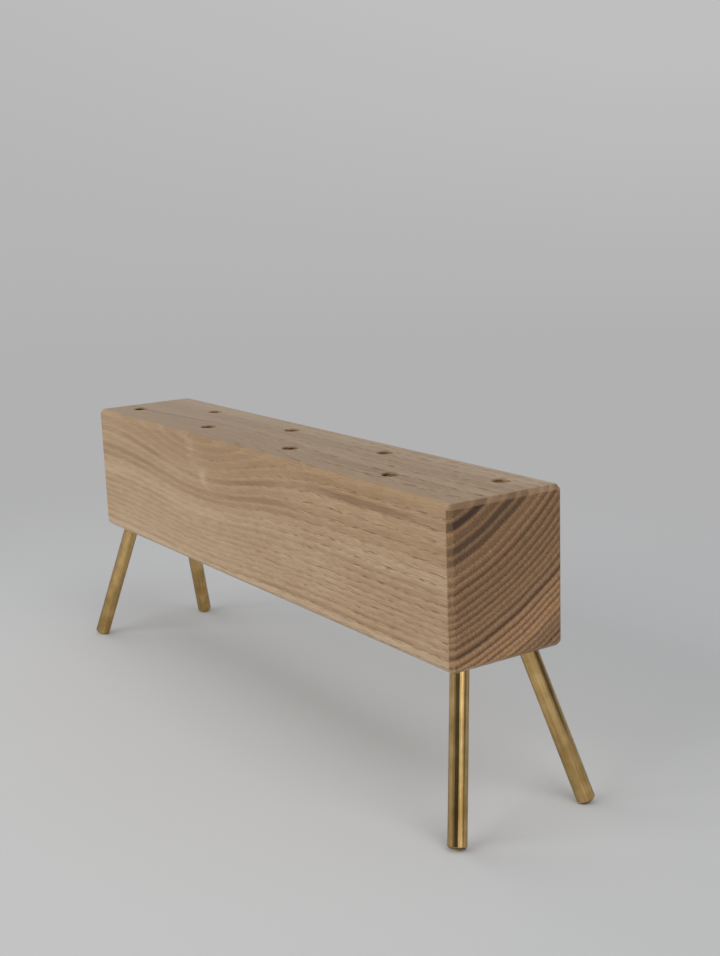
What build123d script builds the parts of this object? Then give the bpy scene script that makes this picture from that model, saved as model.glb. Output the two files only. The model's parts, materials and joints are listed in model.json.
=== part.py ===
from build123d import *
from math import cos, radians, sin
import os

# A long wooden stem holder on four splayed brass rods.
# Millimetres, +Z up, +X along the block, origin on the table under the middle of the block.

# Driving dimensions: the wooden block
block_length = 250.0
block_width = 44.5
block_height = 52.0
block_lift = 52.0            # the underside's height above the table
edge_chamfer = 1.7           # planed along every edge of the block

# Driving dimensions: the stem holes, which zigzag between two rows a little behind the middle
stem_hole_count = 8
stem_left_margin = 15.0      # from the block's left end to the first hole's axis
stem_right_margin = 16.2     # from its right end to the last hole's axis
stem_front_margin = 13.5     # from its front face to the front row's axis
stem_back_margin = 11.0      # from its back face to the back row's axis
stem_hole_diameter = 6.0
stem_floor = 24.0            # wood left under each hole, which also holds the leg sockets
stem_hole_break = 0.4        # the sanded rim of each mouth

# Driving dimensions: the brass legs and their sockets in the underside
leg_diameter = 6.0
leg_splay = 20.0             # degrees between a leg and the upright
leg_heading = 43.5           # degrees between a leg's lean and the block's length, seen from above
leg_end_inset = 7.8          # from the block's end to where the leg's axis meets the underside
leg_side_inset = 8.9         # from the block's side to the same point
leg_end_chamfer = 0.5        # turned on both ends of each rod
leg_embed = 18.0             # length of rod inside its socket
socket_clearance = 0.05      # glue film around the rod
socket_end_gap = 0.2         # glue film over the rod's upper end

# Worked out for the stem holes: they alternate front, back, front, back from the left end
stem_hole_depth = block_height - stem_floor
stem_hole_pitch = (block_length - stem_left_margin - stem_right_margin) / (stem_hole_count - 1)
stem_front_row = stem_front_margin - block_width / 2
stem_back_row = block_width / 2 - stem_back_margin
stem_hole_places = [
    (
        stem_left_margin - block_length / 2 + index * stem_hole_pitch,
        stem_front_row if index % 2 == 0 else stem_back_row,
    )
    for index in range(stem_hole_count)
]

# Worked out for the legs: a rod is cut square, so it stands on one point of its lower end,
# either on the rim of the end face or on the outer rim of the chamfer, whichever is lower
leg_radius = leg_diameter / 2
socket_radius = leg_radius + socket_clearance
lean = radians(leg_splay)
heading = radians(leg_heading)
face_rim_drop = (leg_radius - leg_end_chamfer) * sin(lean)
chamfer_rim_drop = leg_radius * sin(lean) - leg_end_chamfer * cos(lean)
leg_reach = (block_lift - max(face_rim_drop, chamfer_rim_drop)) / cos(lean)

# The four corners: left and right along X, front and back along Y
leg_corners = {
    "leg_front_left": (-1, -1),
    "leg_front_right": (1, -1),
    "leg_back_left": (-1, 1),
    "leg_back_right": (1, 1),
}


def leg_plane(side_x, side_y):
    """Plane across a leg where its axis meets the underside, with its normal up along the leg."""
    seat = (
        side_x * (block_length / 2 - leg_end_inset),
        side_y * (block_width / 2 - leg_side_inset),
        block_lift,
    )
    upward = (
        -side_x * sin(lean) * cos(heading),
        -side_y * sin(lean) * sin(heading),
        cos(lean),
    )
    return Plane(origin=seat, z_dir=upward)


os.makedirs("parts", exist_ok=True)

# The block: one length of solid wood, chamfered all round, bored from above and below
with BuildPart() as wood_block:
    with BuildSketch(Plane.XY.offset(block_lift)):
        Rectangle(block_length, block_width)
    extrude(amount=block_height)
    chamfer(wood_block.edges(), edge_chamfer)

    with Locations(Plane.XY.offset(block_lift + block_height)):
        with Locations(*stem_hole_places):
            Hole(stem_hole_diameter / 2, stem_hole_depth)
    top_face = wood_block.faces().sort_by(Axis.Z)[-1]
    chamfer(top_face.edges().filter_by(GeomType.CIRCLE), stem_hole_break)

    # A socket's cut starts one radius below the underside, so its slanted mouth breaks right through
    for side_x, side_y in leg_corners.values():
        with BuildSketch(leg_plane(side_x, side_y).offset(-socket_radius)):
            Circle(socket_radius)
        extrude(amount=socket_radius + leg_embed + socket_end_gap, mode=Mode.SUBTRACT)

wood_block.part.label = "wood_block"
export_step(wood_block.part, "parts/wood_block.step")

# The legs: four rods of the same length, each glued into its socket
for leg_name, (side_x, side_y) in leg_corners.items():
    with BuildPart() as leg:
        with BuildSketch(leg_plane(side_x, side_y).offset(-leg_reach)):
            Circle(leg_radius)
        extrude(amount=leg_reach + leg_embed)
        chamfer(leg.edges().filter_by(GeomType.CIRCLE), leg_end_chamfer)

    leg.part.label = leg_name
    export_step(leg.part, f"parts/{leg_name}.step")
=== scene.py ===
"""A long stem vase: a chamfered block of oiled elm on four splayed brass rods, in a plain pale studio.

Lengths are in metres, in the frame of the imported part: +X along the block, -Y is the front, +Z up, and the
origin is on the table under the middle of the block. Sizes inside a finish are in millimetres.
"""

import json
import logging
from dataclasses import dataclass, field
from enum import Enum
from math import cos, radians, sin

import bpy
from mathutils import Matrix, Quaternion, Vector

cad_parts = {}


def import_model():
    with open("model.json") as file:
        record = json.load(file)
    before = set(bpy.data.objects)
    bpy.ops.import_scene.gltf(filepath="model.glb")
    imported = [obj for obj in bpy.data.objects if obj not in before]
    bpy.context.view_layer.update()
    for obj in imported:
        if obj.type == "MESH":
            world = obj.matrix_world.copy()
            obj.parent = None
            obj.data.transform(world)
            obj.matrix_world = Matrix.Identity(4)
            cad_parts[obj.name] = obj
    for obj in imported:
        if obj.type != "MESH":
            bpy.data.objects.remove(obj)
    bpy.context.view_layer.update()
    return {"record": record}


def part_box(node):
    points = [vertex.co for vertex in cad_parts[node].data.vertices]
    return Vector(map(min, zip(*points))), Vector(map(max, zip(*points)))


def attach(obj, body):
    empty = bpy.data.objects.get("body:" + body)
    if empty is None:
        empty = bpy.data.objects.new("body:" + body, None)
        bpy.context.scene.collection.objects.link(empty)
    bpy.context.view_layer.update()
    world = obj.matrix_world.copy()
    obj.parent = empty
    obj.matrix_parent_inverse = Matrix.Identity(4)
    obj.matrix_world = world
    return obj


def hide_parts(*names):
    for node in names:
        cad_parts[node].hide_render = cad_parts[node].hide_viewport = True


LOG = logging.getLogger("stem_vase")
MM = 0.001
ROD_PLACE = "rod_place"      # attribute: where a point is on its own upright rod, in millimetres

Colour = tuple[float, float, float, float]
Socket = bpy.types.NodeSocket
Tree = bpy.types.NodeTree


def srgb(code: str) -> Colour:
    """Turns an sRGB hex colour into the linear colour that shaders take.

    Args:
        code: Six hex digits after a hash sign.

    Returns:
        Linear red, green and blue, and an alpha of 1.
    """
    steps = [int(code[i:i + 2], 16) / 255 for i in (1, 3, 5)]
    red, green, blue = (s / 12.92 if s <= 0.04045 else ((s + 0.055) / 1.055) ** 2.4 for s in steps)
    return red, green, blue, 1.0


def add_node(tree: Tree, kind: str, feeds: dict[int | str, Socket | float | tuple] | None = None,
             out: int | str = 0, **settings: object) -> Socket:
    """Adds one node, with its settings, its constants and its incoming links.

    Args:
        tree: The node tree that gets the node.
        kind: Blender's name for the kind of node, without its prefix.
        feeds: What each input takes, by index or name: a socket to link from, or a constant.
        out: The output that is wanted.
        **settings: Properties of the node itself.

    Returns:
        The wanted output socket.
    """
    node = tree.nodes.new("ShaderNode" + kind)
    for name, value in settings.items():
        setattr(node, name, value)
    for key, feed in (feeds or {}).items():
        if isinstance(feed, Socket):
            tree.links.new(feed, node.inputs[key])
        else:
            node.inputs[key].default_value = feed
    return node.outputs[out]


def new_surface(name: str) -> tuple[bpy.types.Material, bpy.types.Node, bpy.types.Node]:
    """Makes a material with nothing but its Principled shader and its output.

    Args:
        name: The real material's name.

    Returns:
        The material, its shader node and its output node.
    """
    material = bpy.data.materials.new(name)
    material.use_nodes = True
    nodes = material.node_tree.nodes
    nodes.clear()
    shader = nodes.new("ShaderNodeBsdfPrincipled")
    output = nodes.new("ShaderNodeOutputMaterial")
    material.node_tree.links.new(shader.outputs["BSDF"], output.inputs["Surface"])
    return material, shader, output


def shown_rays(tree: Tree) -> Socket:
    """Tells the rays that show a surface, straight or in metal or glass, from those that only light others.

    Args:
        tree: The tree that asks.

    Returns:
        1 for a ray that shows, and otherwise 0.
    """
    path = add_node(tree, "LightPath").node
    shiny = add_node(tree, "Math", {
        0: path.outputs["Is Glossy Ray"], 1: path.outputs["Is Transmission Ray"]}, operation="MAXIMUM")
    return add_node(tree, "Math", {0: path.outputs["Is Camera Ray"], 1: shiny}, operation="MAXIMUM")


def work_alone(piece: bpy.types.Object) -> None:
    """Leaves one object selected and active, so that the next operator acts on nothing else."""
    bpy.ops.object.select_all(action="DESELECT")
    piece.select_set(True)
    bpy.context.view_layer.objects.active = piece


def settle(piece: bpy.types.Object) -> None:
    """Puts a piece's place, turn and size into its mesh, so that its object sits at the origin."""
    work_alone(piece)
    bpy.ops.object.transform_apply(location=True, rotation=True, scale=True)


def use_modifier(piece: bpy.types.Object, kind: str, **settings: object) -> None:
    """Adds one modifier to a piece and applies it at once.

    Args:
        piece: The mesh object.
        kind: Blender's name for the modifier.
        **settings: Properties of the modifier.
    """
    work_alone(piece)
    modifier = piece.modifiers.new(kind.lower(), kind)
    for name, value in settings.items():
        setattr(modifier, name, value)
    bpy.ops.object.modifier_apply(modifier=modifier.name)


class Part(Enum):
    """What a selection in edit mode picks out of an upright round bar."""

    RIMS = "the edges round both ends"
    TOP = "the upper end's face"


def select_part(bar: bpy.types.Object, part: Part) -> None:
    """Selects one part of an upright bar's mesh, in edit mode.

    Args:
        bar: The bar, which is active.
        part: What to select.
    """
    bpy.ops.object.mode_set(mode="OBJECT")
    mesh = bar.data
    for group in (mesh.vertices, mesh.edges, mesh.polygons):
        group.foreach_set("select", [False] * len(group))
    if part is Part.TOP:
        max(mesh.polygons, key=lambda face: face.center.z).select = True
    else:
        for edge in mesh.edges:
            low, high = (mesh.vertices[i].co.z for i in edge.vertices)
            edge.select = abs(low - high) < 1e-7
    bpy.ops.object.mode_set(mode="EDIT")
    bpy.ops.mesh.select_mode(type="FACE" if part is Part.TOP else "EDGE")


@dataclass(frozen=True)
class Grain:
    """One irregularity of the wood, drawn out along the block. Sizes are in millimetres."""

    length: float
    width: float

    def noise(self, tree: Tree, place: Socket) -> Socket:
        """Draws it as a noise.

        Args:
            tree: The material's tree.
            place: The point, in millimetres.

        Returns:
            A value between 0 and 1, most often near a half.
        """
        spread = (1 / self.length, 1 / self.width, 1 / self.width)
        drawn_out = add_node(tree, "VectorMath", {0: place, 1: spread}, operation="MULTIPLY")
        return add_node(tree, "TexNoise", {"Vector": drawn_out, "Scale": 1.0, "Detail": 2.0})


@dataclass(frozen=True)
class OiledElm:
    """Elm, planed, sanded and oiled: a ring-porous wood.

    The eye sees growth rings, dark and curved on the ends and as faint lines along the sides, with the open
    pores of each spring's wood as short dashes along the grain. End grain drinks the oil, so it is far
    darker. Sizes are in millimetres.
    """

    spring: str = "#b19675"          # side grain, the light wood that starts each ring
    summer: str = "#927557"          # side grain, the dense wood that ends it
    pore: str = "#7e5b3a"            # the open pores on the sides
    end_spring: str = "#ae855d"      # the same three on the ends
    end_summer: str = "#50351f"
    end_pore: str = "#4e3522"
    redden: float = 0.73             # how much redder the dark side grain is
    sheen: float = 0.38              # roughness of the oiled wood
    pore_rough: float = 0.64         # and inside a pore
    pore_depth: float = 0.1
    pith: tuple[float, float, float] = (0.0, -51.5, 169.2)   # the tree's middle, above the front edge
    first_radius: float = 78.7       # rings are counted from here
    first_pace: float = 0.276        # rings to a millimetre there, so they are 3.6 mm wide
    pace_gain: float = 0.0024        # they narrow outwards, to 1.8 mm at the far corner
    lean_from: float = 103.0         # a run of lean years starts at this radius
    lean_to: float = 113.0           # and ends here
    fat_to: float = 118.5            # and two fat years follow
    lean_rings: float = 0.7          # how many rings the lean years gain
    hard_years: tuple[int, ...] = (0, 14, 22)   # years with a dark, dense summer
    hard_gain: float = 0.35          # how much darker it is
    year_range: tuple[float, float] = (0.45, 0.85)  # how dark a summer is in the other years
    fade: float = 0.28               # the share of a ring in which the last summer's dark fades
    dark_from: tuple[float, float] = (0.28, 0.5)    # where in a ring the next dark starts
    dark_from_at: tuple[float, float] = (98.0, 118.0)   # at these two radii
    dark_full: tuple[float, float] = (0.6, 0.95)    # and where it is full
    dark_full_at: tuple[float, float] = (84.0, 98.0)    # at these two
    spells: tuple[tuple[float, float], ...] = (     # how light the wood is by radius: good and bad spells
        (73, 0.72), (80.5, 0.93), (86, 0.77), (94.5, 1.15), (98.5, 0.96), (115.5, 1.0), (118.5, 1.3),
        (126, 1.4), (129, 0.92))
    painted_flecks: tuple[tuple[tuple[float, float, float], float, float], ...] = (     # painted highlights, and one dulled spot: where, how far, how light
        ((-39, -22, 99.4), 6, 1.35), ((-28.4, -22, 89), 5.5, 1.35), ((-33.7, -22, 94.2), 9, 1.15),
        ((-12, -22, 99), 42, 0.92))
    knot_x: float = -31.0            # a branch near by has pushed the rings outwards here
    knot_reach: float = 44.5         # how far along the block that shows
    knot_push: float = 11.8          # by how much, at the ring below
    knot_ring: float = 79.5
    knot_fade: float = 19.0          # the push dies away outwards
    knot_front: float = -22.0        # and backwards from the front
    knot_depth: float = 28.0         # over this much
    knot_left: float = 0.2           # down to this share
    sway: Grain = Grain(60.0, 18.0)      # the trunk's slow sway
    sway_by: float = 0.7             # which moves a ring by up to this much
    fray: Grain = Grain(8.0, 1 / 1.8)    # the ragged edge of a ring
    fray_by: float = 0.22            # and how ragged it is
    cloud: Grain = Grain(45.0, 9.0)      # patches of the sides
    cloud_lines: tuple[float, float] = (0.4, 1.0)   # how clear the rings are there
    cloud_tone: tuple[float, float] = (1.05, 0.95)  # and how light the wood is
    fibre: Grain = Grain(7.0, 1 / 3.2)   # fibres of the sides; real ones are finer
    fibre_tone: tuple[float, float] = (0.8, 1.2)
    top_lines: float = 0.5           # how clear the rings are on top, against the front: a painted sheen fades them there
    pore_rows: Grain = Grain(4.6, 0.3)   # spacing of the pores; real ones are a little closer
    pore_edge: tuple[float, float] = (0.48, 0.62)   # a pore's rim and floor, as levels of that noise
    row_end: tuple[float, float] = (0.12, 0.35)     # where in a ring the spring's row of pores ends
    row_left: float = 0.3            # and how open the later ones are
    pore_span: tuple[float, float] = (-60.0, 70.0)  # pores get clearer along the block, from left to right
    pore_open: tuple[float, float] = (0.2, 0.95)    # by this much
    end_turn: tuple[float, float] = (0.38, 0.88)    # side grain turns into end grain as a face turns
    upper_end_dark: float = 0.65         # how much of the end's dark the upper chamfers keep
    speck: float = 0.5               # mottling of the ends
    speck_tone: tuple[float, float] = (0.68, 1.3)
    ray_width: float = 0.28          # the rays, which run out from the pith; real ones are finer
    ray_length: float = 6.0
    ray_tone: tuple[float, float] = (0.84, 1.16)

    def material(self) -> bpy.types.Material:
        """Builds the wood as one solid, so that its figure runs round every edge and into every hole."""
        material, surface, _ = new_surface("oiled_elm")
        tree = material.node_tree
        place = add_node(tree, "VectorMath", {
            0: add_node(tree, "TexCoord", out="Object"), "Scale": 1 / MM}, operation="SCALE")
        offset = add_node(tree, "VectorMath", {0: place, 1: self.pith}, operation="SUBTRACT")
        radius = self.grown_radius(tree, place, offset)
        ring = self.ring_count(tree, radius)
        early = add_node(tree, "Math", {0: ring}, operation="FRACT")
        late = self.late_wood(tree, radius, ring, early)
        pores = self.pores(tree, place, early)
        tone = self.tone(tree, radius)
        side = self.side_grain(tree, place, late, pores, tone)
        ends = self.end_grain(tree, place, offset, radius, late, pores, tone)
        colour = add_node(tree, "Mix", {0: self.endness(tree), 6: side, 7: ends}, out=2, data_type="RGBA")
        tree.links.new(colour, surface.inputs["Base Color"])
        gloss = add_node(tree, "MapRange", {0: pores, 3: self.sheen, 4: self.pore_rough})
        tree.links.new(gloss, surface.inputs["Roughness"])
        dents = add_node(tree, "Bump", {
            "Strength": 0.3, "Distance": self.pore_depth * MM, "Height": pores}, invert=True)
        tree.links.new(dents, surface.inputs["Normal"])
        surface.inputs["IOR"].default_value = 1.5
        return material

    def grown_radius(self, tree: Tree, place: Socket, offset: Socket) -> Socket:
        """Finds how far out from the pith a point grew, before the branch pushed it and the trunk swayed.

        Args:
            tree: The material's tree.
            place: The point, in millimetres.
            offset: The same, from the pith.

        Returns:
            The radius.
        """
        across = add_node(tree, "VectorMath", {0: offset, 1: (0, 1, 1)}, operation="MULTIPLY")
        radius = add_node(tree, "VectorMath", {0: across}, out="Value", operation="LENGTH")
        spot = add_node(tree, "SeparateXYZ", {0: place}).node
        run = add_node(tree, "Math", {0: spot.outputs["X"], 1: self.knot_x}, operation="SUBTRACT")
        share = add_node(tree, "Math", {0: run, 1: self.knot_reach}, operation="DIVIDE")
        square = add_node(tree, "Math", {0: share, 1: share}, operation="MULTIPLY")
        depth = add_node(tree, "MapRange", {
            0: radius, 1: self.knot_ring, 2: self.knot_ring + self.knot_fade}, clamp=False)
        fall = add_node(tree, "Math", {0: square, 1: depth}, operation="ADD")
        drop = add_node(tree, "Math", {0: fall, 1: -1.0}, operation="MULTIPLY")
        swell = add_node(tree, "Math", {0: drop}, operation="EXPONENT")
        near = add_node(tree, "MapRange", {
            0: spot.outputs["Y"], 1: self.knot_front, 2: self.knot_front + self.knot_depth,
            3: 1.0, 4: self.knot_left})
        bulge = add_node(tree, "Math", {0: swell, 1: near}, operation="MULTIPLY")
        pushed = add_node(tree, "Math", {
            0: bulge, 1: -self.knot_push, 2: radius}, operation="MULTIPLY_ADD")
        wander = add_node(tree, "MapRange", {
            0: self.sway.noise(tree, place), 3: -self.sway_by, 4: self.sway_by})
        swayed = add_node(tree, "Math", {0: pushed, 1: wander}, operation="ADD")
        ragged = add_node(tree, "MapRange", {
            0: self.fray.noise(tree, place), 1: 0.25, 2: 0.75, 3: -self.fray_by, 4: self.fray_by})
        return add_node(tree, "Math", {0: swayed, 1: ragged}, operation="ADD")

    def ring_count(self, tree: Tree, radius: Socket) -> Socket:
        """Counts growth rings outwards; the fraction is the place within a ring.

        Args:
            tree: The material's tree.
            radius: The distance from the pith.

        Returns:
            The ring count.
        """
        past = add_node(tree, "Math", {0: radius, 1: self.first_radius}, operation="SUBTRACT")
        pace = add_node(tree, "Math", {
            0: past, 1: self.pace_gain, 2: self.first_pace}, operation="MULTIPLY_ADD")
        count = add_node(tree, "Math", {0: past, 1: pace}, operation="MULTIPLY")
        gain = add_node(tree, "MapRange", {
            0: radius, 1: self.lean_from, 2: self.lean_to, 4: self.lean_rings})
        loss = add_node(tree, "MapRange", {
            0: radius, 1: self.lean_to, 2: self.fat_to, 4: self.lean_rings})
        lean = add_node(tree, "Math", {0: gain, 1: loss}, operation="SUBTRACT")
        return add_node(tree, "Math", {0: count, 1: lean}, operation="ADD")

    def late_wood(self, tree: Tree, radius: Socket, ring: Socket, early: Socket) -> Socket:
        """Darkens each ring outwards, more in some years than in others.

        The dark fades early in the next ring. Near the pith it starts sooner, so most of a ring is dark.

        Args:
            tree: The material's tree.
            radius: The distance from the pith.
            ring: The ring count.
            early: Its fraction.

        Returns:
            The share of late wood, from 0 to 1.
        """
        fading = add_node(tree, "MapRange", {0: early, 2: self.fade, 3: 1.0, 4: 0.0})
        start, full = (
            add_node(tree, "MapRange", {0: radius, 1: inner, 2: outer, 3: first, 4: last})
            for (inner, outer), (first, last) in (
                (self.dark_from_at, self.dark_from), (self.dark_full_at, self.dark_full)))
        building = add_node(tree, "MapRange", {0: early, 1: start, 2: full})
        shade = add_node(tree, "Math", {0: fading, 1: building}, operation="MAXIMUM")
        from_palest = add_node(tree, "Math", {0: ring, 1: 1 - self.fade}, operation="ADD")
        year = add_node(tree, "Math", {0: from_palest}, operation="FLOOR")
        luck = add_node(tree, "TexWhiteNoise", {"W": year}, noise_dimensions="1D")
        weight = add_node(tree, "MapRange", {0: luck, 3: self.year_range[0], 4: self.year_range[1]})
        for hard_year in self.hard_years:
            hard = add_node(tree, "Math", {0: year, 1: float(hard_year), 2: 0.1}, operation="COMPARE")
            weight = add_node(tree, "Math", {
                0: hard, 1: self.hard_gain, 2: weight}, operation="MULTIPLY_ADD")
        return add_node(tree, "Math", {0: shade, 1: weight}, operation="MULTIPLY")

    def tone(self, tree: Tree, radius: Socket) -> Socket:
        """Makes the wood of some spells of years lighter than that of others.

        Args:
            tree: The material's tree.
            radius: The distance from the pith.

        Returns:
            A factor for the wood's colour.
        """
        first, last = self.spells[0][0], self.spells[-1][0]
        age = add_node(tree, "MapRange", {0: radius, 1: first, 2: last})
        node = add_node(tree, "ValToRGB", {0: age}).node
        stops = node.color_ramp.elements
        for spot, _ in self.spells[1:-1]:
            stops.new((spot - first) / (last - first))
        for stop, (_, light) in zip(stops, self.spells):
            stop.color = (light, light, light, 1.0)
        return node.outputs[0]

    def pores(self, tree: Tree, place: Socket, early: Socket) -> Socket:
        """Draws the pores as thin streaks along the grain, most of them in a row at the start of each ring.

        Towards the left end the oil has filled more of them, so they are fainter there.

        Args:
            tree: The material's tree.
            place: The point, in millimetres.
            early: The fraction of a ring.

        Returns:
            How open the pore is at a point: 0 between pores.
        """
        (left, right), (filled, clear) = self.pore_span, self.pore_open
        hollow = add_node(tree, "MapRange", {
            0: self.pore_rows.noise(tree, place), 1: self.pore_edge[0], 2: self.pore_edge[1]})
        row = add_node(tree, "MapRange", {
            0: early, 1: self.row_end[0], 2: self.row_end[1], 3: 1.0, 4: self.row_left})
        opened = add_node(tree, "Math", {0: hollow, 1: row}, operation="MULTIPLY")
        along = add_node(tree, "SeparateXYZ", {0: place}, out="X")
        calm = add_node(tree, "MapRange", {0: along, 1: left, 2: right, 3: filled, 4: clear})
        return add_node(tree, "Math", {0: opened, 1: calm}, operation="MULTIPLY")

    def endness(self, tree: Tree) -> Socket:
        """Tells end grain, which faces along the block and drinks the oil, from side grain.

        Args:
            tree: The material's tree.

        Returns:
            1 on the ends, 0 on the sides and between on the chamfers: least on the upper ones, the more
            they face up.
        """
        facing = add_node(tree, "SeparateXYZ", {0: add_node(tree, "TexCoord", out="Normal")}).node
        size = add_node(tree, "Math", {0: facing.outputs["X"]}, operation="ABSOLUTE")
        share = add_node(tree, "MapRange", {
            0: size, 1: self.end_turn[0], 2: self.end_turn[1]}, interpolation_type="SMOOTHSTEP")
        # The chamfers keep less of the end's dark the more they face up.
        upward_fade = add_node(tree, "MapRange", {
            0: facing.outputs["Z"], 1: 0.3, 2: 0.7, 3: 1.0, 4: self.upper_end_dark})
        return add_node(tree, "Math", {0: share, 1: upward_fade}, operation="MULTIPLY")

    def shine(self, tree: Tree, place: Socket) -> Socket:
        """Paints highlights on the spots near the branch where the grain dives, and dulls one of them.

        Args:
            tree: The material's tree.
            place: The point, in millimetres.

        Returns:
            A factor for the wood's colour.
        """
        shine: Socket | float = 1.0
        for spot, reach, strength in self.painted_flecks:
            away = add_node(tree, "VectorMath", {0: place, 1: spot}, out="Value", operation="DISTANCE")
            glow = add_node(tree, "MapRange", {
                0: away, 2: reach, 3: strength, 4: 1.0}, interpolation_type="SMOOTHSTEP")
            shine = add_node(tree, "Math", {0: glow, 1: shine}, operation="MULTIPLY")
        return shine

    def side_grain(self, tree: Tree, place: Socket, late: Socket, pores: Socket, tone: Socket) -> Socket:
        """Colours wood that is cut along the grain; its figure is fainter on top, a painted sheen.

        Args:
            tree: The material's tree.
            place: The point, in millimetres.
            late: The share of late wood.
            pores: How open the pore is.
            tone: The wood's tone by age.

        Returns:
            The colour.
        """
        (dim, clear), (light, dark) = self.cloud_lines, self.cloud_tone
        cloud = self.cloud.noise(tree, place)
        break_up = add_node(tree, "MapRange", {0: cloud, 1: 0.35, 2: 0.65, 3: dim, 4: clear})
        thin = add_node(tree, "Math", {0: late, 1: 1.5}, operation="POWER")
        broken = add_node(tree, "Math", {0: thin, 1: break_up}, operation="MULTIPLY")
        facing = add_node(tree, "SeparateXYZ", {0: add_node(tree, "TexCoord", out="Normal")}, out="Z")
        # Painted sheen: the rings fade on faces that look up, as a grazing reflection would veil them.
        upward_fade = add_node(tree, "MapRange", {0: facing, 1: 0.5, 2: 0.95, 3: 1.0, 4: self.top_lines})
        lines = add_node(tree, "Math", {0: broken, 1: upward_fade}, operation="MULTIPLY")
        wood = add_node(tree, "Mix", {
            0: lines, 6: srgb(self.spring), 7: srgb(self.summer)}, out=2, data_type="RGBA")
        streak = add_node(tree, "MapRange", {
            0: self.fibre.noise(tree, place), 1: 0.25, 2: 0.75,
            3: self.fibre_tone[0], 4: self.fibre_tone[1]})
        faint = add_node(tree, "Math", {0: tone, 1: 0.7}, operation="POWER")
        shade = add_node(tree, "Math", {0: streak, 1: faint}, operation="MULTIPLY")
        drift = add_node(tree, "MapRange", {0: cloud, 1: 0.3, 2: 0.7, 3: light, 4: dark})
        aged = add_node(tree, "Math", {0: shade, 1: drift}, operation="MULTIPLY")
        # The painted highlights near the branch, and the one dulled spot.
        lit = add_node(tree, "Math", {0: aged, 1: self.shine(tree, place)}, operation="MULTIPLY")
        # Dark wood is also redder, so the colour is raised to a power and not only scaled.
        power = add_node(tree, "Math", {
            0: lit, 1: -self.redden, 2: 1 + self.redden}, operation="MULTIPLY_ADD")
        tinted = add_node(tree, "Gamma", {0: wood, 1: power})
        return add_node(tree, "Mix", {0: pores, 6: tinted, 7: srgb(self.pore)}, out=2, data_type="RGBA")

    def end_grain(self, tree: Tree, place: Socket, offset: Socket, radius: Socket, late: Socket,
                  pores: Socket, tone: Socket) -> Socket:
        """Colours wood that is cut across the grain, with its fine rays.

        Args:
            tree: The material's tree.
            place: The point, in millimetres.
            offset: The same, from the pith.
            radius: The distance from the pith.
            late: The share of late wood.
            pores: How open the pore is.
            tone: The wood's tone by age.

        Returns:
            The colour.
        """
        wood = add_node(tree, "Mix", {
            0: late, 6: srgb(self.end_spring), 7: srgb(self.end_summer)}, out=2, data_type="RGBA")
        aside = add_node(tree, "SeparateXYZ", {0: offset}).node
        angle = add_node(tree, "Math", {0: aside.outputs["Y"], 1: aside.outputs["Z"]}, operation="ARCTAN2")
        turn = add_node(tree, "Math", {
            0: angle, 1: self.first_radius / self.ray_width}, operation="MULTIPLY")
        out_along = add_node(tree, "Math", {0: radius, 1: self.ray_length}, operation="DIVIDE")
        fan = add_node(tree, "CombineXYZ", {0: turn, 1: out_along})
        rays = add_node(tree, "TexNoise", {"Vector": fan, "Scale": 1.0, "Detail": 2.0})
        specks = add_node(tree, "TexNoise", {"Vector": place, "Scale": 1 / self.speck, "Detail": 3.0})
        ray_tone, speck_tone = (
            add_node(tree, "MapRange", {0: marks, 1: 0.3, 2: 0.7, 3: dark, 4: light})
            for marks, (dark, light) in ((rays, self.ray_tone), (specks, self.speck_tone)))
        mottle = add_node(tree, "Math", {0: ray_tone, 1: speck_tone}, operation="MULTIPLY")
        shade = add_node(tree, "Math", {0: mottle, 1: tone}, operation="MULTIPLY")
        tinted = add_node(tree, "VectorMath", {0: wood, "Scale": shade}, operation="SCALE")
        faint = add_node(tree, "Math", {0: pores, 1: 0.75}, operation="MULTIPLY")
        return add_node(tree, "Mix", {0: faint, 6: tinted, 7: srgb(self.end_pore)}, out=2, data_type="RGBA")


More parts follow.
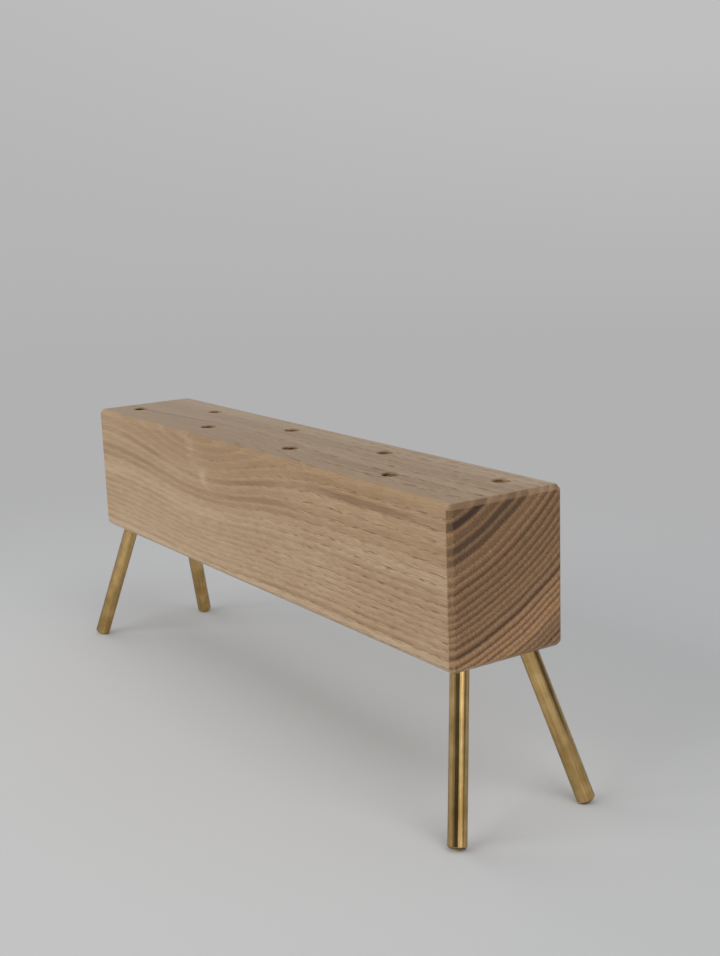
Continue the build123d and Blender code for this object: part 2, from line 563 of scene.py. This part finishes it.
@dataclass(frozen=True)
class DrawnBrass:
    """Brass rod as it is drawn and cut, bare of lacquer.

    The eye sees crisp bands of whatever stands around it, broken by hairlines along the rod, and a browner
    tone in patches where hands have dulled it, with a painted shade that darkens it towards the foot.
    """

    bright: str = "#efca8b"
    dull: str = "#b6955c"
    hairline: float = 0.3        # spacing round the rod; real ones are finer
    hairline_run: float = 30.0   # and how long one is
    smudge: float = 7.0          # size of a dulled patch
    shift: float = 104.0         # each rod's heights start this much above the last one's
    lowest: float = -60.0        # below a rod's own foot; heights are from the block's underside
    foot_shade_start: float = -15.0     # above here a rod has no painted shade
    foot_shade_full: float = -52.0     # and at its foot, here, the painted shade is darkest
    # how far the painted shade at the foot takes the brass towards its dull colour
    foot_shade_by: float = 0.2
    polish: float = 0.05         # roughness between the hairlines
    scratch: float = 0.14        # and in one

    def material(self) -> bpy.types.Material:
        """Builds the brass on the rod's own coordinates, so that its lines run along each rod."""
        material, surface, _ = new_surface("drawn_brass")
        tree = material.node_tree
        place = add_node(tree, "Attribute", out="Vector", attribute_name=ROD_PLACE)
        spread = (1 / self.hairline, 1 / self.hairline, 1 / self.hairline_run)
        thread = add_node(tree, "VectorMath", {0: place, 1: spread}, operation="MULTIPLY")
        lines = add_node(tree, "TexNoise", {"Vector": thread, "Scale": 1.0, "Detail": 3.0})
        patches = add_node(tree, "TexNoise", {"Vector": place, "Scale": 1 / self.smudge, "Detail": 4.0})
        worn = add_node(tree, "Math", {0: lines, 1: patches}, operation="ADD")
        spot = add_node(tree, "SeparateXYZ", {0: place}, out="Z")
        height = add_node(tree, "Math", {
            0: spot, 1: self.lowest + self.shift, 2: self.lowest}, operation="WRAP")
        # Painted shade: darker towards the foot, standing in for the shade that the foot reflects.
        low = add_node(tree, "MapRange", {
            0: height, 1: self.foot_shade_start, 2: self.foot_shade_full, 4: self.foot_shade_by})
        # Real wear in patches and lines, plus the painted shade at the foot.
        aged = add_node(tree, "Math", {0: worn, 1: low}, operation="ADD")
        tone = add_node(tree, "MapRange", {0: aged, 1: 0.75, 2: 1.3})
        colour = add_node(tree, "Mix", {
            0: tone, 6: srgb(self.bright), 7: srgb(self.dull)}, out=2, data_type="RGBA")
        tree.links.new(colour, surface.inputs["Base Color"])
        gloss = add_node(tree, "MapRange", {0: lines, 1: 0.3, 2: 0.7, 3: self.polish, 4: self.scratch})
        tree.links.new(gloss, surface.inputs["Roughness"])
        ridges = add_node(tree, "Bump", {"Strength": 0.08, "Distance": 0.05 * MM, "Height": lines})
        tree.links.new(ridges, surface.inputs["Normal"])
        surface.inputs["Metallic"].default_value = 1.0
        return material


@dataclass(frozen=True)
class SweepPaper:
    """Matt pale studio paper, laid without a crease: even, with the faintest cloudiness.

    Away from the object it is shown to the camera, and to metal, as the same pale grey that the room has at
    its level, so that no edge of the sheet is seen. Near the object it takes light and shadow as any paper
    does.
    """

    light: str = "#dcdddc"
    dark: str = "#d8d9d9"
    pale: str = "#b6b7b8"
    cloud: float = 180.0       # size of a cloud
    lit_reach: float = 130.0   # out to here it is only lit
    pale_reach: float = 460.0  # and from here on it is only pale

    def material(self) -> bpy.types.Material:
        """Builds the paper."""
        material, surface, output = new_surface("sweep_paper")
        tree = material.node_tree
        place = add_node(tree, "TexCoord", out="Object")
        clouds = add_node(tree, "TexNoise", {"Vector": place, "Scale": 1 / (self.cloud * MM)})
        colour = add_node(tree, "Mix", {
            0: clouds, 6: srgb(self.light), 7: srgb(self.dark)}, out=2, data_type="RGBA")
        tree.links.new(colour, surface.inputs["Base Color"])
        surface.inputs["Roughness"].default_value = 0.9
        surface.inputs["Specular IOR Level"].default_value = 0.2
        away = add_node(tree, "VectorMath", {0: place}, out="Value", operation="LENGTH")
        far = add_node(tree, "MapRange", {
            0: away, 1: self.lit_reach * MM, 2: self.pale_reach * MM}, interpolation_type="SMOOTHSTEP")
        hidden = add_node(tree, "Math", {0: far, 1: shown_rays(tree)}, operation="MULTIPLY")
        glow = add_node(tree, "Emission", {"Color": srgb(self.pale)})
        blend = add_node(tree, "MixShader", {0: hidden, 1: surface.outputs["BSDF"], 2: glow})
        tree.links.new(blend, output.inputs["Surface"])
        return material


@dataclass(frozen=True)
class FlagCloth:
    """Dull grey cloth for dark sheets that stand in for the unlit side of the room, so that metal shows a
    dark band: even and without any shine.
    """

    colour: str = "#6a6a6a"

    def material(self) -> bpy.types.Material:
        """Builds the cloth."""
        material, surface, _ = new_surface("flag_cloth")
        surface.inputs["Base Color"].default_value = srgb(self.colour)
        surface.inputs["Roughness"].default_value = 1.0
        surface.inputs["Specular IOR Level"].default_value = 0.0
        return material


class Corner(Enum):
    """The block's four corners, each with its leg: left and right along X, front and back along Y."""

    FRONT_LEFT = ("leg_front_left", -1, -1)
    FRONT_RIGHT = ("leg_front_right", 1, -1)
    BACK_LEFT = ("leg_back_left", -1, 1)
    BACK_RIGHT = ("leg_back_right", 1, 1)


@dataclass
class BrassLegs:
    """Four rods of the same length, each glued into a slanted socket."""

    half_length: float           # the block's
    half_width: float            # the block's
    lift: float                  # the underside's height above the table
    radius: float = 3.0 * MM
    splay: float = radians(20)
    heading: float = radians(43.5)
    end_inset: float = 7.8 * MM      # from the block's end to where a leg's axis meets the underside
    side_inset: float = 8.9 * MM     # from its side to the same point
    embed: float = 18.0 * MM
    chamfer: float = 0.5 * MM
    soft_edge: float = 0.1 * MM
    clearance: float = 0.05 * MM
    end_gap: float = 0.2 * MM
    sides: int = 96

    @property
    def reach(self) -> float:
        """Length of rod between the underside and the table, where the rod stands on its lowest rim."""
        face_rim = (self.radius - self.chamfer) * sin(self.splay)
        chamfer_rim = self.radius * sin(self.splay) - self.chamfer * cos(self.splay)
        return (self.lift - max(face_rim, chamfer_rim)) / cos(self.splay)

    def stance(self, corner: Corner) -> Matrix:
        """Finds where a leg stands.

        Args:
            corner: The leg's corner.

        Returns:
            The turn and place that take an upright rod, whose zero is at the underside, to that corner.
        """
        _, side_x, side_y = corner.value
        seat = Vector((side_x * (self.half_length - self.end_inset),
                       side_y * (self.half_width - self.side_inset), self.lift))
        upward = Vector((-side_x * sin(self.splay) * cos(self.heading),
                         -side_y * sin(self.splay) * sin(self.heading), cos(self.splay)))
        turn = Vector((0, 0, 1)).rotation_difference(upward)
        return Matrix.Translation(seat) @ turn.to_matrix().to_4x4()

    def bar(self, name: str, radius: float, low: float, high: float) -> bpy.types.Object:
        """Adds an upright bar as a start for a rod or a cutter.

        Args:
            name: The object's name.
            radius: The bar's radius.
            low: Its lower end.
            high: Its upper end.

        Returns:
            The bar.
        """
        bpy.ops.object.select_all(action="DESELECT")
        bpy.ops.mesh.primitive_cylinder_add(
            vertices=self.sides, radius=radius, depth=high - low, location=(0, 0, (low + high) / 2))
        made = bpy.context.object
        made.name = name
        settle(made)
        return made

    def rod(self) -> bpy.types.Object:
        """Turns one rod, upright, with its zero at the underside."""
        rod = self.bar("rod", self.radius, -self.reach, self.embed)
        bpy.ops.object.mode_set(mode="EDIT")
        select_part(rod, Part.RIMS)
        bpy.ops.mesh.bevel(offset=self.chamfer, offset_type="OFFSET", segments=1, affect="EDGES")
        bpy.ops.object.mode_set(mode="OBJECT")
        use_modifier(rod, "BEVEL", width=self.soft_edge, segments=2, limit_method="ANGLE",
                     angle_limit=radians(30))
        bpy.ops.object.shade_smooth_by_angle(angle=radians(20))
        use_modifier(rod, "WEIGHTED_NORMAL", keep_sharp=True)
        return rod

    def build(self) -> dict[Corner, bpy.types.Object]:
        """Models one rod and stands a copy at each corner.

        Returns:
            The four legs.
        """
        rod = self.rod()
        legs = {}
        for number, corner in enumerate(Corner):
            leg = rod.copy()
            leg.data = rod.data.copy()
            leg.name = corner.value[0].replace("leg", "brass_rod")
            leg.data.name = leg.name
            bpy.context.scene.collection.objects.link(leg)
            mark = leg.data.attributes.new(ROD_PLACE, "FLOAT_VECTOR", "POINT")
            shift = Vector((0, 0, number * DrawnBrass.shift))
            for point, vertex in zip(mark.data, leg.data.vertices):
                point.vector = vertex.co / MM + shift
            leg.matrix_world = self.stance(corner)
            settle(leg)
            legs[corner] = leg
        bpy.data.objects.remove(rod)
        return legs

    def socket_cutters(self) -> list[bpy.types.Object]:
        """Makes the four bars that cut the sockets, a glue film wider than the rods."""
        cutters = []
        for corner in Corner:
            cutter = self.bar(
                "socket", self.radius + self.clearance, -2 * self.radius, self.embed + self.end_gap)
            cutter.matrix_world = self.stance(corner)
            settle(cutter)
            cutters.append(cutter)
        return cutters

    def dress(self, legs: dict[Corner, bpy.types.Object]) -> None:
        """Gives the legs their finish and ties them to the part.

        Args:
            legs: The four legs.
        """
        brass = DrawnBrass().material()
        for corner, leg in legs.items():
            leg.data.materials.clear()
            leg.data.materials.append(brass)
            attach(leg, "root")
            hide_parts(corner.value[0])


@dataclass
class WoodBlock:
    """The block: chamfered all round, bored from above for stems and from below for the legs."""

    low: Vector
    high: Vector
    stems: list[dict]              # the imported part's mounts for the stem holes
    chamfer: float = 1.7 * MM
    soft_edge: float = 0.35 * MM   # sanding takes this much off each edge of a chamfer
    mouth: float = 0.4 * MM        # and this much off the mouth of each hole

    def blank(self) -> bpy.types.Object:
        """Planes the block to size and chamfers its edges."""
        centre = (self.low + self.high) / 2
        bpy.ops.object.select_all(action="DESELECT")
        bpy.ops.mesh.primitive_cube_add(size=1.0, location=centre)
        block = bpy.context.object
        block.name = block.data.name = "elm_block"
        block.scale = self.high - self.low
        settle(block)
        bpy.ops.object.mode_set(mode="EDIT")
        bpy.ops.mesh.select_all(action="SELECT")
        bpy.ops.mesh.bevel(offset=self.chamfer, offset_type="OFFSET", segments=1, affect="EDGES")
        bpy.ops.object.mode_set(mode="OBJECT")
        use_modifier(block, "BEVEL", width=self.soft_edge, segments=3, limit_method="ANGLE",
                     angle_limit=radians(20))
        return block

    def stem_cutter(self, stem: dict) -> bpy.types.Object:
        """Makes the bit that bores one stem hole and breaks the edge of its mouth.

        Args:
            stem: The hole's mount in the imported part.

        Returns:
            The cutter.
        """
        radius = stem["dims"]["r_mm"] * MM
        depth = stem["dims"]["length_mm"] * MM
        centre = Vector(stem["pos_m"])
        bpy.ops.object.select_all(action="DESELECT")
        bpy.ops.mesh.primitive_cylinder_add(vertices=64, radius=radius, depth=depth, location=centre)
        cutter = bpy.context.object
        settle(cutter)
        bpy.ops.object.mode_set(mode="EDIT")
        select_part(cutter, Part.TOP)
        bpy.ops.mesh.extrude_region_move(TRANSFORM_OT_translate={"value": (0, 0, self.mouth)})
        wider = (radius + self.mouth) / radius
        bpy.ops.transform.resize(value=(wider, wider, 1), center_override=centre)
        bpy.ops.mesh.extrude_region_move(TRANSFORM_OT_translate={"value": (0, 0, self.mouth)})
        bpy.ops.object.mode_set(mode="OBJECT")
        return cutter

    def build(self, sockets: list[bpy.types.Object]) -> bpy.types.Object:
        """Makes the block and bores it.

        Args:
            sockets: The cutters of the leg sockets.

        Returns:
            The block.
        """
        block = self.blank()
        cutters = [self.stem_cutter(stem) for stem in self.stems] + sockets
        work_alone(cutters[0])
        for cutter in cutters:
            cutter.select_set(True)
        bpy.ops.object.join()
        bits = bpy.context.object
        use_modifier(block, "BOOLEAN", operation="DIFFERENCE", solver="EXACT", object=bits)
        bpy.data.objects.remove(bits)
        work_alone(block)
        bpy.ops.object.shade_smooth_by_angle(angle=radians(35))
        use_modifier(block, "WEIGHTED_NORMAL", keep_sharp=True)
        return block

    def dress(self, block: bpy.types.Object) -> None:
        """Gives the block its finish and ties it to the part.

        Args:
            block: The block.
        """
        block.data.materials.clear()
        block.data.materials.append(OiledElm().material())
        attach(block, "root")
        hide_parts("wood_block")


@dataclass(frozen=True)
class Bearing:
    """A direction from the object, as a photographer would give it."""

    swing: float       # degrees to the right of the camera
    rise: float        # degrees above the table

    def outward(self, facing: Vector) -> Vector:
        """Turns the bearing into a direction.

        Args:
            facing: The level direction from the object to the camera.

        Returns:
            The direction, of length 1.
        """
        level = Quaternion((0, 0, 1), radians(self.swing)) @ facing
        return level * cos(radians(self.rise)) + Vector((0, 0, sin(radians(self.rise))))


@dataclass(frozen=True)
class SoftBox:
    """One large soft lamp, aimed at the object."""

    name: str
    bearing: Bearing
    distance: float
    width: float
    height: float
    watts: float
    mirrored: bool = True        # whether metal shows it
    colour: str = "#fffefc"

    def light(self, facing: Vector) -> None:
        """Hangs the lamp.

        Args:
            facing: The level direction from the object to the camera.
        """
        lamp = bpy.data.lights.new(self.name, "AREA")
        lamp.shape = "RECTANGLE"
        lamp.size, lamp.size_y = self.width, self.height
        lamp.energy = self.watts
        lamp.color = srgb(self.colour)[:3]
        holder = bpy.data.objects.new(self.name, lamp)
        bpy.context.scene.collection.objects.link(holder)
        outward = self.bearing.outward(facing)
        holder.location = outward * self.distance
        holder.rotation_mode = "QUATERNION"
        holder.rotation_quaternion = (-outward).to_track_quat("-Z", "Y")
        holder.visible_camera = False
        holder.visible_glossy = self.mirrored


@dataclass(frozen=True)
class Flag:
    """One grey cloth standing in for the unlit side of the room, unseen by the camera itself, which the
    brass shows as a dark band.
    """

    name: str
    bearing: Bearing
    distance: float
    width: float
    height: float

    def hang(self, facing: Vector, cloth: bpy.types.Material) -> None:
        """Hangs the cloth.

        Args:
            facing: The level direction from the object to the camera.
            cloth: What it is made of.
        """
        outward = self.bearing.outward(facing)
        bpy.ops.object.select_all(action="DESELECT")
        bpy.ops.mesh.primitive_plane_add(size=1.0, location=outward * self.distance)
        sheet = bpy.context.object
        sheet.name = sheet.data.name = self.name
        sheet.scale = (self.width, self.height, 1)
        sheet.rotation_mode = "QUATERNION"
        sheet.rotation_quaternion = (-outward).to_track_quat("Z", "Y")
        settle(sheet)
        sheet.data.materials.append(cloth)
        sheet.visible_camera = False


@dataclass
class Studio:
    """A flat sheet of pale paper, soft lamps, grey flags, a pale room and the camera."""

    eye: Vector = field(default_factory=lambda: Vector((0.423018, -0.251151, 0.193438)))
    aim: Vector = field(default_factory=lambda: Vector((0.046342, 0.0, 0.096571)))
    roll: float = radians(-2.063)
    lens: float = 50.52          # millimetres, on a 36 mm frame
    sheet: float = 1.6           # the paper's size
    pale: str = "#b1b1b2"        # how the room is shown at the level of the table
    paler: str = "#bfbfc0"       # and higher up
    paler_from: float = -0.11    # the rise of a look, as a sine, from which the room gets paler
    paler_to: float = 0.16       # and up to which it does
    paler_right: float = 0.4     # it does so by this share more on the right, and less on the left
    frame_side: float = 0.25     # how far aside those are, as a sine again
    glow: str = "#9a9b9f"        # the even light the room gives
    lamps: tuple[SoftBox, ...] = (
        SoftBox("left_window", Bearing(-64, 28), 1.4, 1.1, 0.7, 6.9, mirrored=False),
        SoftBox("back_window", Bearing(-130, 9), 2.4, 2.5, 0.7, 44.0, mirrored=False),
        SoftBox("right_window", Bearing(24.5, 18), 1.4, 0.62, 0.7, 1.15),
        SoftBox("right_fill", Bearing(22, 50), 1.4, 1.0, 0.8, 4.5, mirrored=False),
    )
    flags: tuple[Flag, ...] = (
        Flag("front_flag", Bearing(-22.5, 13), 1.9, 2.6, 1.1),
        Flag("right_flag", Bearing(76, 9), 1.9, 2.3, 0.6),
    )

    @property
    def facing(self) -> Vector:
        """The level direction from the object to the camera."""
        return Vector((self.eye.x, self.eye.y, 0)).normalized()

    def floor(self) -> None:
        """Lays the paper, whose edges are lost in the room's own pale grey."""
        bpy.ops.object.select_all(action="DESELECT")
        bpy.ops.mesh.primitive_plane_add(size=self.sheet)
        paper = bpy.context.object
        paper.name = paper.data.name = "paper_sweep"
        paper.data.materials.append(SweepPaper(pale=self.pale).material())

    def surround(self) -> None:
        """Fills the room with even light; it is shown pale, and paler higher up and to the right."""
        world = bpy.data.worlds.new("studio_room")
        bpy.context.scene.world = world
        world.use_nodes = True
        tree = world.node_tree
        tree.nodes.clear()
        look = add_node(tree, "TexCoord", out="Generated")
        height = add_node(tree, "SeparateXYZ", {0: look}, out="Z")
        lift = add_node(tree, "MapRange", {0: height, 1: self.paler_from, 2: self.paler_to})
        rightward = Quaternion((0, 0, 1), radians(90)) @ self.facing
        aside = add_node(tree, "VectorMath", {0: look, 1: rightward}, out="Value", operation="DOT_PRODUCT")
        tilt = add_node(tree, "MapRange", {
            0: aside, 1: -self.frame_side, 2: self.frame_side,
            3: 1 - self.paler_right, 4: 1 + self.paler_right})
        share = add_node(tree, "Math", {0: lift, 1: tilt}, operation="MULTIPLY", use_clamp=True)
        shown = add_node(tree, "Mix", {
            0: share, 6: srgb(self.pale), 7: srgb(self.paler)}, out=2, data_type="RGBA")
        colour = add_node(tree, "Mix", {
            0: shown_rays(tree), 6: srgb(self.glow), 7: shown}, out=2, data_type="RGBA")
        light = add_node(tree, "Background", {"Color": colour})
        output = tree.nodes.new("ShaderNodeOutputWorld")
        tree.links.new(light, output.inputs["Surface"])

    def camera(self) -> None:
        """Sets up the camera at the photograph's place."""
        lens = bpy.data.cameras.new("camera")
        lens.lens = self.lens
        lens.sensor_width = 36.0
        lens.clip_start, lens.clip_end = 0.01, 20.0
        holder = bpy.data.objects.new("camera", lens)
        bpy.context.scene.collection.objects.link(holder)
        holder.location = self.eye
        holder.rotation_mode = "QUATERNION"
        level = (self.aim - self.eye).to_track_quat("-Z", "Y")
        holder.rotation_quaternion = level @ Quaternion((0, 0, 1), self.roll)
        bpy.context.scene.camera = holder

    def build(self) -> None:
        """Builds the room, the lamps and the camera."""
        self.floor()
        self.surround()
        for lamp in self.lamps:
            lamp.light(self.facing)
        cloth = FlagCloth().material()
        for flag in self.flags:
            flag.hang(self.facing, cloth)
        self.camera()
        bpy.context.scene.view_settings.view_transform = "Standard"


def main() -> None:
    """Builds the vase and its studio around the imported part."""
    logging.basicConfig(level=logging.INFO, format="%(name)s: %(message)s")
    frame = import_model()
    low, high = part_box("wood_block")
    stems = [mount for mount in frame["record"]["mounts"] if mount["name"].startswith("stem_hole")]

    legs = BrassLegs(half_length=high.x, half_width=high.y, lift=low.z)
    rods = legs.build()
    block = WoodBlock(low, high, stems)
    wood = block.build(legs.socket_cutters())
    legs.dress(rods)
    block.dress(wood)
    for piece in [wood, *rods.values()]:
        LOG.info("%s: %d faces", piece.name, len(piece.data.polygons))

    Studio().build()


if __name__ == "__main__":
    main()
